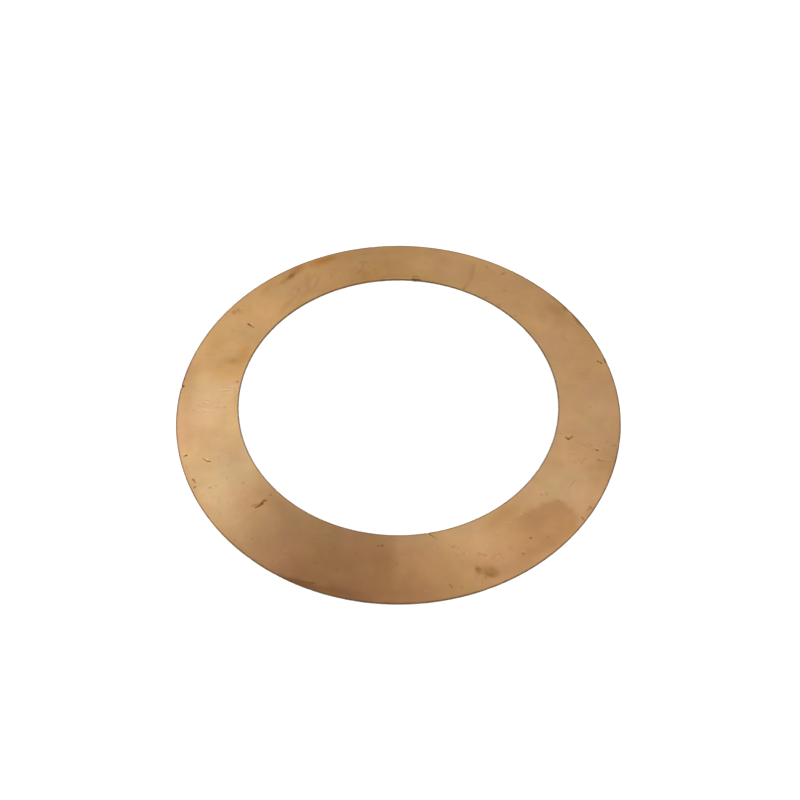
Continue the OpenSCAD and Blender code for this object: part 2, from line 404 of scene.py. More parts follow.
# Flat map of the surface: upper face full size, lower face inside its hole, the two walls as strips in the middle.
loop_v = np.zeros(len(mesh.loops), np.int64)
mesh.loops.foreach_get("vertex_index", loop_v)
loop_q = np.repeat(np.arange(len(quads)), 4)
kind_of = np.array([{"top": 0, "rim": 1, "bottom": 2, "bore": 3}[k] for k, _, _ in SECTION])
q_loop = loop_q // AROUND
q_first, q_next = kind_of[q_loop], kind_of[(q_loop + 1) % LOOPS]
zone = np.where((q_first == 0) & (q_next == 0), 0, np.where((q_first == 2) & (q_next == 2), 2, np.where((q_first == 1) | (q_next == 1), 1, 3)))
lx, ly, lz = flat[loop_v].T
uv = np.zeros((len(loop_v), 2))
scale = 0.49 / R_OUT
uv[:, 0], uv[:, 1] = 0.5 + lx * scale, 0.5 + ly * scale
low = zone == 2
uv[low, 0], uv[low, 1] = 0.5 - lx[low] * scale * 0.70, 0.5 + ly[low] * scale * 0.70
# A wall is unrolled into eight short strips, one under the other.
col = loop_v % AROUND
q_col = loop_q % AROUND
col = np.where((q_col == AROUND - 1) & (col == 0), AROUND, col)
part = q_col // (AROUND // 8)
across = np.zeros(LOOPS)
for kind_id, order in ((1, [n for n in range(LOOPS) if kind_of[n] == 1]), (3, [n for n in range(LOOPS) if kind_of[n] == 3])):
    chain = [order[0] - 1] + order + [(order[-1] + 1) % LOOPS]
    for n, k in enumerate(chain):
        across[k] = n / (len(chain) - 1) if kind_of[k] == kind_id else across[k]
l_loop = loop_v // AROUND
for kind_id, base in ((1, 0.50), (3, 0.36)):
    sel = zone == kind_id
    order = [n for n in range(LOOPS) if kind_of[n] == kind_id]
    lo_n = order[0] - 1
    pos = np.where(l_loop[sel] == lo_n, 0.0, np.where(np.isin(l_loop[sel], order), across[l_loop[sel]], 1.0))
    along = (col[sel] - part[sel] * (AROUND // 8)) / (AROUND // 8)
    uv[sel, 0] = 0.37 + 0.26 * along
    uv[sel, 1] = base + 0.0165 * part[sel] + 0.012 * pos
layer = mesh.uv_layers.new(name="OFBake")
layer.data.foreach_set("uv", uv.astype(np.float32).ravel())

washer = bpy.data.objects.new("washer_ring", mesh)
scene.collection.objects.link(washer)

# ---------------------------------------------------------------- stains and tarnish, with some painted shade and painted highlight, as fields on the mesh
f = Field(flat[:, 0], flat[:, 1])
kinds = np.repeat(kind_of, AROUND)
upper = (kinds != 2).astype(float)


def put(name, values):
    attribute = mesh.attributes.new(name, "FLOAT", "POINT")
    attribute.data.foreach_set("value", np.clip(values, 0.0, 1.0).astype(np.float32))


def total(*layers):
    out = np.zeros(len(flat))
    for m in layers:
        out = 1.0 - (1.0 - out) * (1.0 - np.clip(m, 0.0, 1.0))
    return out


edge_gap = np.minimum(f.r - R_BORE, R_OUT - f.r)
rim_gap, bore_gap = R_OUT - f.r, f.r - R_BORE

# thin, warm tarnish: reddish over the near left, where its darker, deeper colour is partly painted shade, amber over
# the far left, and a smudge with a crisp far border
cloudy = 0.8 + 0.4 * (noise(f.x, f.y, 6.0, 7) - 0.5)
near = f.sector(-132.0, -112.0, -88.0, -68.0)
near_right = f.sector(-92.0, -78.0, -56.0, -42.0)
outline = [(480.0, 535.0), (505.0, 523.0), (520.0, 515.0), (536.0, 507.5), (545.0, 503.5), (556.0, 500.0), (563.0, 502.0),
           (568.0, 507.0), (573.0, 508.8), (577.0, 513.8), (578.5, 519.5), (574.0, 532.0), (556.0, 550.0), (520.0, 556.0)]
smudge = f.inside(outline, 3.0, 1.8, 1.2, 9) * (1.0 - 0.45 * smooth(526.0, 552.0, f.v)) * smooth(494.0, 532.0, f.u)
put("warm", upper * cloudy * total(
    0.95 * near * (0.50 + 0.50 * smooth(0.5, 6.0, bore_gap)), 0.25 * near_right,
    0.40 * f.patch(316.0, 576.0, 36.0, 14.0, 22.0, 0.9, 0.2, 3.0, 125),
    0.40 * f.patch(336.0, 578.0, 34.0, 13.0, 14.0, 0.9, 0.2, 3.0, 139),
))
put("smudge", upper * total(
    0.52 * smudge,
    0.20 * f.patch(543.0, 517.0, 15.0, 9.0, -15.0, 0.9, 0.3, 2.0, 2),
    0.46 * f.patch(501.0, 516.0, 16.0, 7.0, -34.0, 0.8, 0.3, 1.5, 10),
    0.34 * f.patch(543.0, 543.0, 26.0, 9.0, -33.0, 0.9, 0.3, 2.0, 17),
    0.30 * f.patch(187.0, 388.0, 6.0, 20.0, 4.0, 0.9, 0.3, 2.0, 93),
    0.30 * f.patch(303.0, 583.6, 14.0, 2.6, 14.0, 0.7, 0.3, 1.0, 3),
    0.35 * f.patch(338.0, 592.4, 26.0, 4.2, 11.0, 0.8, 0.3, 1.5, 4),
    0.30 * f.patch(610.4, 470.0, 3.0, 8.0, 18.0, 0.8, 0.3, 1.0, 6),
    0.30 * f.patch(590.0, 510.0, 5.0, 3.0, -45.0, 0.8, 0.3, 1.0, 8),
    0.14 * f.patch(554.0, 304.0, 28.0, 6.0, 42.0, 0.8, 0.3, 2.0, 118),
    0.10 * f.patch(561.0, 313.0, 9.0, 5.0, 45.0, 0.8, 0.3, 1.5, 119),
    0.24 * (1.0 - smooth(1.0, 4.0, bore_gap)) * f.sector(86.0, 94.0, 118.0, 126.0),
    0.15 * (1.0 - smooth(1.0, 4.0, bore_gap)) * f.sector(74.0, 80.0, 98.0, 106.0),
    0.16 * f.stroke([(199.0, 362.0), (189.0, 390.0), (185.0, 418.0), (188.0, 449.0)], 7.0, 0.9),
    0.12 * f.stroke([(600.0, 374.0), (592.0, 350.0), (577.0, 329.0)], 6.0, 0.9),
    0.13 * f.patch(528.0, 303.0, 13.0, 13.0, 40.0, 0.9, 0.2, 3.0, 140),
    0.12 * f.patch(480.0, 277.0, 9.0, 14.0, -30.0, 0.9, 0.2, 3.0, 141),
    0.14 * f.patch(340.0, 257.0, 12.0, 5.0, -15.0, 0.9, 0.3, 2.0, 142),
    0.14 * f.patch(326.0, 287.0, 10.0, 5.0, -30.0, 0.9, 0.3, 2.0, 143),
    0.15 * f.patch(240.0, 367.0, 5.0, 9.0, 12.0, 0.9, 0.3, 2.0, 144),
    0.22 * (1.0 - smooth(0.3, 1.6, rim_gap)) * noise(f.x, f.y, 2.5, 29),
))
# darker colour, partly painted shade and partly darker film: painted shade of the dark reflected sector up to a soft
# upright border near the middle of the near side and along the near rim; darker film in the other patches
painted_shade_border = (1.0 - smooth(388.0, 402.0, f.u)) * (0.40 * smooth(325.0, 372.0, f.u) + 0.55 * smooth(360.0, 386.0, f.u)) * (1.0 - 0.35 * smooth(560.0, 590.0, f.v)) * (0.40 + 0.60 * smooth(540.0, 562.0, f.v))
put("shade", upper * total(
    painted_shade_border * (f.y < 0.0),
    0.60 * f.patch(405.0, 597.0, 62.0, 15.0, 0.0, 0.8, 0.2, 4.0, 37),
    0.55 * f.patch(338.0, 590.0, 62.0, 9.0, 14.0, 0.8, 0.2, 4.0, 94),
    0.40 * f.patch(303.0, 577.0, 26.0, 11.0, 27.0, 0.9, 0.2, 3.0, 110),
    0.06 * f.sector(-131.0, -122.0, -112.0, -103.0),
    0.34 * f.patch(598.0, 478.0, 6.0, 17.0, 22.0, 0.9, 0.2, 2.0, 111),
    0.25 * (1.0 - smooth(2.0, 5.0, rim_gap)) * f.sector(80.0, 88.0, 114.0, 122.0),
    0.20 * f.patch(236.0, 371.0, 6.0, 8.0, 0.0, 0.9, 0.2, 2.0, 123),
    0.36 * f.patch(398.0, 598.0, 26.0, 8.0, 0.0, 0.9, 0.2, 2.0, 124),
    0.26 * f.patch(350.0, 277.5, 24.0, 5.0, -11.0, 0.9, 0.2, 2.0, 112),
    0.45 * f.patch(350.0, 595.0, 26.0, 4.0, 8.0, 0.7, 0.3, 1.5, 113),
    0.80 * f.patch(303.0, 584.4, 17.0, 2.8, 14.0, 0.6, 0.25, 1.5, 114),
    0.60 * f.patch(330.0, 591.0, 22.0, 4.6, 13.0, 0.7, 0.25, 1.5, 115),
    0.60 * f.patch(281.0, 507.0, 20.0, 8.0, 40.0, 0.9, 0.2, 3.0, 95),
    0.42 * f.patch(521.0, 562.0, 46.0, 7.0, -31.0, 0.8, 0.2, 3.0, 96),
    0.36 * f.patch(588.0, 416.0, 13.0, 34.0, 0.0, 0.9, 0.3, 4.0, 97),
    0.12 * f.patch(580.0, 335.0, 22.0, 9.0, 55.0, 0.9, 0.3, 4.0, 39),
    0.12 * f.patch(548.0, 312.0, 12.0, 9.0, 40.0, 0.9, 0.3, 3.0, 40),
    0.38 * f.patch(362.0, 268.0, 26.0, 15.0, -8.0, 0.9, 0.3, 3.0, 42),
    0.34 * f.patch(398.0, 264.0, 16.0, 15.0, 0.0, 0.9, 0.3, 3.0, 98),
    0.30 * f.patch(330.0, 266.0, 12.0, 10.0, -15.0, 0.9, 0.3, 3.0, 99),
    0.30 * f.patch(462.0, 276.0, 9.0, 13.0, 20.0, 0.9, 0.3, 3.0, 43),
    0.40 * f.stroke([(308.0, 274.0), (307.0, 282.0), (308.4, 290.0)], 3.2),
    0.12 * f.stroke([(559.4, 309.6), (551.1, 309.0), (541.7, 306.9)], 2.6),
    0.24 * f.patch(609.0, 430.0, 8.0, 40.0, 0.0, 0.9, 0.3, 4.0, 58),
    0.20 * f.patch(585.0, 474.0, 16.0, 11.0, -20.0, 0.9, 0.3, 3.0, 145),
    0.30 * f.patch(413.0, 582.0, 14.0, 9.0, 0.0, 0.9, 0.3, 2.0, 153),
    0.20 * f.patch(372.0, 588.0, 12.0, 7.0, 0.0, 0.9, 0.3, 2.0, 154),
))
# reddish dark film along the near left rim
put("film", upper * total(
    0.44 * f.patch(297.0, 582.2, 17.0, 2.8, 20.0, 0.7, 0.3, 1.2, 130),
    0.28 * f.patch(316.0, 587.6, 14.0, 3.6, 22.0, 0.8, 0.3, 1.2, 131),
    0.20 * f.patch(333.0, 588.5, 5.5, 4.5, 60.0, 0.8, 0.3, 1.2, 132),
    0.16 * f.patch(349.0, 593.0, 16.0, 3.0, 8.0, 0.8, 0.3, 1.2, 133),
    0.16 * f.patch(350.0, 597.4, 14.0, 2.6, 9.0, 0.8, 0.3, 1.2, 134),
    0.12 * f.patch(398.0, 595.0, 24.0, 7.0, 0.0, 0.9, 0.3, 2.0, 146),
    0.20 * f.stroke([(294.0, 578.6), (303.0, 581.6), (308.0, 582.6), (314.0, 583.2)], 1.5),
    0.12 * f.sector(-131.0, -122.0, -112.0, -103.0),
))
put("amber", upper * cloudy * total(
    0.55 * f.sector(60.0, 88.0, 116.0, 140.0),
    0.45 * f.sector(100.0, 125.0, 160.0, 181.0),
    0.25 * f.sector(-5.0, 20.0, 80.0, 110.0),
    0.18 * f.sector(-92.0, -82.0, -58.0, -48.0),
    0.45 * (1.0 - smooth(0.6, 3.2, bore_gap)) * f.sector(104.0, 112.0, 150.0, 172.0),
    0.85 * f.patch(379.0, 274.0, 34.0, 8.0, -3.0, 0.8, 0.3, 3.0, 100),
    0.90 * f.patch(228.0, 373.0, 15.0, 10.0, 0.0, 0.8, 0.3, 2.0, 101),
    0.50 * f.patch(336.0, 260.0, 18.0, 6.0, -15.0, 0.8, 0.3, 2.0, 102),
    0.34 * f.patch(402.0, 252.0, 34.0, 5.0, 0.0, 0.8, 0.3, 2.0, 117),
    0.40 * f.patch(240.0, 356.0, 9.0, 14.0, 20.0, 0.8, 0.3, 2.0, 59),
    0.30 * f.patch(300.0, 267.0, 10.0, 3.5, -30.0, 0.8, 0.3, 1.5, 60),
    0.24 * f.patch(558.0, 317.0, 18.0, 10.0, 42.0, 0.9, 0.3, 3.0, 147),
    0.45 * f.patch(204.0, 368.0, 18.0, 9.0, -6.0, 0.9, 0.3, 2.0, 156),
    0.22 * f.patch(198.0, 433.0, 17.0, 13.0, 0.0, 0.9, 0.3, 3.0, 157),
    0.22 * f.patch(498.0, 557.0, 20.0, 9.0, -20.0, 0.9, 0.3, 3.0, 158),
))
# pale film; over the bright left side and just right of the near border it is partly a painted highlight
put("pale", upper * total(
    0.75 * f.patch(207.0, 402.0, 34.0, 38.0, 0.0, 0.8, 0.25, 5.0, 51),
    0.52 * f.patch(573.0, 487.0, 20.0, 20.0, 30.0, 0.7, 0.3, 3.0, 52) * (1.0 - smudge),
    0.45 * f.patch(210.0, 440.0, 30.0, 40.0, 0.0, 0.8, 0.3, 5.0, 53),
    0.52 * f.patch(414.0, 549.0, 16.0, 17.0, 0.0, 0.8, 0.3, 3.0, 54),
    0.46 * f.patch(449.0, 537.0, 38.0, 9.0, -14.0, 0.8, 0.2, 3.0, 103),
    0.92 * f.patch(215.6, 498.0, 38.0, 15.0, 52.0, 0.8, 0.25, 3.0, 104),
    0.30 * f.patch(557.0, 333.0, 14.0, 14.0, 0.0, 0.9, 0.3, 3.0, 105),
    0.28 * f.patch(296.0, 532.0, 26.0, 20.0, 35.0, 0.9, 0.2, 3.0, 126),
    0.28 * f.patch(453.0, 270.0, 9.0, 14.0, 0.0, 0.9, 0.3, 3.0, 106),
    0.42 * f.patch(293.0, 289.0, 11.0, 11.0, 30.0, 0.9, 0.3, 3.0, 107),
    0.42 * f.patch(238.0, 339.0, 16.0, 14.0, 0.0, 0.9, 0.3, 3.0, 108),
    0.40 * f.patch(478.0, 523.0, 16.0, 8.0, -20.0, 0.8, 0.3, 2.5, 62),
    0.35 * f.patch(470.0, 546.0, 22.0, 12.0, -15.0, 0.9, 0.3, 3.0, 63),
    0.30 * f.patch(541.0, 495.0, 12.0, 7.0, -30.0, 0.8, 0.3, 2.0, 64),
    0.22 * f.patch(420.0, 262.0, 22.0, 9.0, 0.0, 0.9, 0.3, 4.0, 68),
    0.24 * (1.0 - smooth(1.0, 5.0, bore_gap)) * f.sector(-96.0, -82.0, 12.0, 28.0),
    0.24 * (1.0 - smooth(1.0, 6.0, bore_gap)) * f.sector(-90.0, -80.0, -55.0, -42.0),
    0.20 * f.patch(257.0, 337.0, 14.0, 9.0, -49.0, 0.9, 0.3, 3.0, 148),
    0.22 * f.patch(408.0, 550.0, 8.0, 10.0, 0.0, 0.9, 0.3, 2.0, 155),
    0.40 * f.patch(212.0, 399.0, 15.0, 10.0, -10.0, 0.9, 0.3, 3.0, 159),
    0.20 * f.patch(335.0, 539.0, 16.0, 9.0, 20.0, 0.9, 0.3, 3.0, 149),
    0.22 * f.patch(562.0, 494.0, 14.0, 7.0, -20.0, 0.9, 0.3, 2.0, 150) * (1.0 - smudge),
))
put("green", upper * total(
    0.80 * f.patch(229.0, 472.0, 17.0, 19.0, 0.0, 0.9, 0.3, 3.0, 55),
    0.55 * f.patch(248.0, 457.0, 7.0, 20.0, -18.0, 0.9, 0.3, 2.0, 57),
    0.25 * f.patch(556.0, 479.0, 14.0, 9.0, -30.0, 0.9, 0.3, 2.0, 56),
    0.34 * f.patch(594.0, 410.0, 16.0, 28.0, 0.0, 0.9, 0.3, 3.0, 116),
    0.24 * f.patch(222.0, 328.0, 20.0, 8.0, -49.0, 0.9, 0.3, 2.0, 151),
))
# rust-coloured bloom
put("rust", upper * total(
    0.95 * f.patch(323.0, 260.8, 9.0, 2.9, -17.0, 0.7, 0.35, 0.9, 69),
    0.40 * f.patch(318.0, 262.0, 15.0, 4.0, -18.0, 0.9, 0.35, 1.2, 70),
    0.60 * f.patch(298.0, 269.0, 7.0, 2.8, -32.0, 0.8, 0.35, 0.9, 72),
    0.40 * f.patch(236.5, 311.0, 5.0, 3.2, -20.0, 0.8, 0.35, 0.8, 73),
    0.30 * f.patch(288.0, 303.0, 10.0, 2.0, -42.0, 0.8, 0.40, 0.9, 74),
    0.42 * f.patch(244.5, 353.5, 5.0, 10.0, 18.0, 0.8, 0.35, 0.9, 75),
    0.26 * f.patch(269.0, 288.5, 8.0, 4.0, -45.0, 0.9, 0.35, 1.2, 90),
    0.26 * f.patch(309.0, 291.0, 7.0, 2.0, -33.0, 0.8, 0.40, 0.9, 76),
    0.22 * f.patch(572.0, 524.0, 4.0, 3.0, 40.0, 0.8, 0.35, 0.9, 77),
    0.20 * f.patch(187.0, 366.0, 3.0, 10.0, 15.0, 0.8, 0.35, 0.9, 78),
    0.15 * f.patch(556.0, 309.0, 9.0, 3.4, 22.0, 0.8, 0.35, 1.2, 122),
    0.11 * f.patch(374.0, 274.0, 18.0, 8.0, -4.0, 0.9, 0.30, 2.0, 152),
    0.06 * f.patch(328.0, 571.0, 34.0, 13.0, 16.0, 0.9, 0.20, 3.0, 160),
    0.28 * f.patch(397.4, 563.4, 2.6, 2.0, 20.0, 0.9, 0.30, 0.9, 161),
))

# yellow-olive tarnish in small patches
put("olive", upper * total(
    0.68 * f.patch(233.2, 360.8, 7.8, 3.2, -5.0, 0.7, 0.35, 0.9, 11),
    0.22 * f.patch(221.0, 366.0, 9.0, 7.0, -10.0, 0.9, 0.30, 1.5, 91),
    0.24 * f.patch(249.8, 308.0, 1.8, 6.0, 14.0, 0.8, 0.30, 0.9, 92),
    0.45 * f.patch(233.8, 362.8, 3.5, 2.0, 60.0, 0.7, 0.35, 0.9, 12),
    0.50 * f.patch(283.2, 282.3, 3.6, 2.6, -25.0, 0.7, 0.3, 0.6, 13),
    0.75 * f.patch(363.8, 275.6, 3.6, 4.0, 0.0, 0.8, 0.3, 0.8, 14),
    0.45 * f.patch(330.0, 259.4, 6.0, 2.6, -17.0, 0.7, 0.3, 0.8, 15),
    0.30 * f.patch(597.0, 466.0, 5.0, 4.0, 0.0, 0.8, 0.3, 0.8, 16),
    0.40 * f.patch(284.5, 309.0, 8.0, 2.4, -45.0, 0.8, 0.3, 0.8, 18),
    0.30 * f.patch(235.5, 400.0, 1.6, 14.0, 0.0, 0.8, 0.3, 0.8, 19),
    0.35 * f.patch(487.0, 571.5, 11.0, 7.0, 15.0, 0.8, 0.35, 1.0, 79),
    0.30 * f.patch(534.5, 481.0, 3.0, 4.0, 30.0, 0.8, 0.3, 1.0, 80),
    0.30 * f.patch(215.0, 343.0, 6.0, 18.0, 25.0, 0.9, 0.3, 2.0, 81),
    0.24 * f.patch(585.6, 468.0, 5.0, 4.0, 0.0, 0.8, 0.3, 1.5, 82),
))

# brown stains
put("stain", upper * total(
    1.00 * f.patch(291.0, 276.3, 5.0, 1.8, -36.0, 0.6, 0.30, 0.7, 21),
    0.32 * f.patch(293.0, 274.0, 9.0, 3.6, -38.0, 0.8, 0.35, 0.9, 20),
    0.30 * f.patch(283.2, 282.4, 2.6, 1.8, -25.0, 0.7, 0.35, 0.7, 22),
    0.22 * f.patch(299.2, 289.2, 1.3, 2.2, 30.0, 0.7, 0.30, 0.6, 44),
    0.12 * f.patch(323.0, 260.6, 7.0, 2.2, -17.0, 0.7, 0.35, 1.0, 23),
    0.26 * f.patch(331.0, 258.6, 4.0, 1.8, -17.0, 0.7, 0.35, 0.8, 45),
    0.50 * f.patch(234.2, 312.3, 1.9, 1.5, 0.0, 0.6, 0.40, 0.5, 24),
    0.35 * f.patch(238.5, 310.0, 2.4, 1.7, -20.0, 0.7, 0.40, 0.5, 25),
    0.20 * f.patch(242.0, 312.5, 1.6, 1.3, 0.0, 0.7, 0.40, 0.5, 47),
    0.30 * f.stroke([(358.5, 262.9), (363.0, 262.3), (368.6, 262.6)], 1.1),
    0.32 * f.stroke([(363.2, 263.5), (362.8, 266.5), (361.8, 269.6)], 1.4),
    0.36 * f.stroke([(361.0, 270.2), (358.8, 272.6), (356.4, 275.2)], 1.2),
    0.24 * f.patch(368.6, 267.4, 1.9, 1.3, 10.0, 0.8, 0.35, 0.6, 135),
    0.34 * f.patch(374.0, 269.6, 1.4, 1.2, 0.0, 0.8, 0.35, 0.5, 136),
    0.22 * f.patch(364.4, 275.0, 2.4, 4.6, 4.0, 0.9, 0.40, 0.8, 137),
    0.22 * f.patch(368.6, 273.0, 1.7, 1.4, 0.0, 0.8, 0.35, 0.5, 138),
    0.20 * f.patch(376.2, 272.2, 1.1, 1.3, 0.0, 0.8, 0.30, 0.5, 48),
    0.22 * f.patch(233.6, 361.0, 5.0, 1.8, 0.0, 0.8, 0.40, 0.7, 49),
    0.64 * f.patch(477.9, 570.2, 2.6, 3.9, -12.0, 0.8, 0.45, 0.5, 26),
    0.28 * f.patch(480.6, 569.6, 1.3, 2.6, 0.0, 0.8, 0.40, 0.5, 127),
    0.52 * f.patch(490.8, 571.8, 7.2, 5.0, 20.0, 0.7, 0.40, 0.8, 27),
    0.48 * f.patch(491.6, 575.2, 4.2, 1.8, 8.0, 0.8, 0.40, 0.8, 50),
    0.26 * f.stroke([(484.6, 571.8), (488.0, 574.8), (492.5, 576.4), (496.6, 574.6), (498.2, 571.6)], 1.8),
    0.15 * f.patch(486.5, 568.5, 15.0, 9.0, 8.0, 0.9, 0.35, 1.0, 28),
    0.60 * f.patch(564.6, 308.6, 3.4, 1.5, 48.0, 0.6, 0.35, 0.6, 30),
    0.08 * f.patch(560.5, 312.5, 8.0, 3.2, 45.0, 0.8, 0.35, 1.0, 31),
    0.75 * f.patch(577.6, 321.2, 6.5, 1.5, 50.0, 0.7, 0.35, 0.6, 32),
    0.24 * f.stroke([(474.2, 264.5), (472.6, 271.0), (471.0, 278.5), (467.5, 284.5), (463.8, 289.0)], 2.4),
    0.40 * f.patch(463.8, 288.4, 1.6, 1.4, 0.0, 0.7, 0.30, 0.5, 33),
    0.30 * f.patch(415.5, 276.8, 3.6, 1.2, 0.0, 0.7, 0.30, 0.5, 34),
    0.08 * f.patch(545.5, 318.0, 1.2, 3.0, 30.0, 0.8, 0.30, 0.5, 35),
    0.20 * f.patch(316.0, 283.5, 6.0, 1.5, -62.0, 0.9, 0.30, 1.0, 36),
    0.16 * f.patch(313.0, 277.0, 1.6, 6.5, 32.0, 0.9, 0.30, 1.0, 84),
    0.16 * f.patch(295.0, 287.0, 4.0, 1.6, -50.0, 0.9, 0.30, 0.8, 85),
    0.14 * f.patch(266.0, 290.0, 5.0, 2.0, -45.0, 0.9, 0.30, 0.8, 86),
    0.14 * f.patch(591.0, 470.0, 2.5, 3.5, 10.0, 0.9, 0.30, 0.8, 87),
    0.14 * f.patch(540.0, 312.0, 3.5, 8.0, -30.0, 0.9, 0.30, 1.0, 88),
    0.14 * f.patch(564.0, 337.0, 2.0, 6.0, -35.0, 0.9, 0.30, 1.0, 89),
))

put("upper", upper)

# darkened sheared edges, and a fine dark line just inside them
fray = 0.16 * noise(f.x, f.y, 1.4, 61)
rim_line = 0.34 + fray + 0.16 * f.sector(12.0, 20.0, 34.0, 42.0) - 0.14 * f.sector(-172.0, -160.0, -136.0, -124.0) - 0.09 * f.sector(-92.0, -80.0, -40.0, -28.0)
bore_line = 0.20 + fray + 0.13 * smooth(0.55, 0.92, np.cos(np.radians(f.turn(110.0)))) + 0.06 * smooth(0.75, 0.95, np.cos(np.radians(f.turn(-175.0))))
line = np.maximum(1.0 - smooth(0.08, rim_line, rim_gap), 1.0 - smooth(0.04, bore_line, bore_gap))
put("edge", np.where((kinds == 1) | (kinds == 3), 1.0, line * upper))


# ---------------------------------------------------------------- bronze
class Nodes:
    """Short calls for making shader nodes."""

    def __init__(self, tree):
        self.tree = tree
        tree.nodes.clear()

    def node(self, kind, **settings):
        n = self.tree.nodes.new(kind)
        for k, v in settings.items():
            setattr(n, k, v)
        return n

    def feed(self, socket, value):
        if isinstance(value, bpy.types.NodeSocket):
            self.tree.links.new(value, socket)
        elif value is not None:
            socket.default_value = value

    def math(self, op, a, b=None, clamp=False):
        n = self.node("ShaderNodeMath", operation=op, use_clamp=clamp)
        self.feed(n.inputs[0], a)
        if b is not None:
            self.feed(n.inputs[1], b)
        return n.outputs[0]

    def vector(self, op, a, b=None):
        n = self.node("ShaderNodeVectorMath", operation=op)
        self.feed(n.inputs[0], a)
        if b is not None:
            self.feed(n.inputs[3] if op == "SCALE" else n.inputs[1], b)
        return n.outputs[1] if op in ("LENGTH", "DOT_PRODUCT", "DISTANCE") else n.outputs[0]

    def ramp(self, value, lo, hi, out_lo=0.0, out_hi=1.0, kind="SMOOTHSTEP"):
        n = self.node("ShaderNodeMapRange", interpolation_type=kind, clamp=kind == "LINEAR")
        self.feed(n.inputs["Value"], value)
        for k, v in (("From Min", lo), ("From Max", hi), ("To Min", out_lo), ("To Max", out_hi)):
            n.inputs[k].default_value = v
        return n.outputs["Result"]

    def mix(self, share, a, b, blend="MIX"):
        n = self.node("ShaderNodeMix", data_type="RGBA", blend_type=blend)
        self.feed(n.inputs[0], share)
        for socket, v in ((n.inputs[6], a), (n.inputs[7], b)):
            self.feed(socket, v if isinstance(v, bpy.types.NodeSocket) else (*v, 1.0))
        return n.outputs[2]

    def attribute(self, name):
        return self.node("ShaderNodeAttribute", attribute_name=name).outputs["Fac"]

    def texture(self, place, scale, detail=3.0, rough=0.5, stretch=(1.0, 1.0, 1.0), spin=0.0):
        m = self.node("ShaderNodeMapping")
        self.feed(m.inputs["Vector"], place)
        m.inputs["Scale"].default_value = stretch
        m.inputs["Rotation"].default_value = (0.0, 0.0, math.radians(spin))
        n = self.node("ShaderNodeTexNoise")
        self.feed(n.inputs["Vector"], m.outputs[0])
        n.inputs["Scale"].default_value = scale
        n.inputs["Detail"].default_value = detail
        n.inputs["Roughness"].default_value = rough
        return n.outputs[0]


def marks(t, place, rows):
    """The strongest of many dots and short strokes over the upper face: 0 to 1."""
    most = None
    for u0, v0, u1, v1, half, strength in rows:
        ax, ay, k = on_face(u0, v0)
        bx, by, _ = on_face(u1, v1)
        w = half / k * MM
        a, b = Vector((ax, ay, 0.0)) * MM, Vector((bx, by, 0.0)) * MM
        ab = b - a
        if ab.length < 1.2 * w:
            w += 0.35 * ab.length
            d = t.vector("DISTANCE", place, (a + b) / 2.0)
        else:
            rel = t.vector("SUBTRACT", place, a)
            # each node is made after those that it reads, which keeps the compiled shader small
            reach = t.vector("DOT_PRODUCT", rel, ab / ab.length_squared)
            along = t.node("ShaderNodeClamp")
            t.feed(along.inputs["Value"], reach)
            step = t.node("ShaderNodeVectorMath", operation="SCALE")
            step.inputs[0].default_value = ab
            t.feed(step.inputs["Scale"], along.outputs[0])
            d = t.vector("DISTANCE", rel, step.outputs[0])
        one = t.ramp(d, 0.35 * w, 1.9 * w, strength, 0.0)
        most = one if most is None else t.math("MAXIMUM", most, one)
    return most


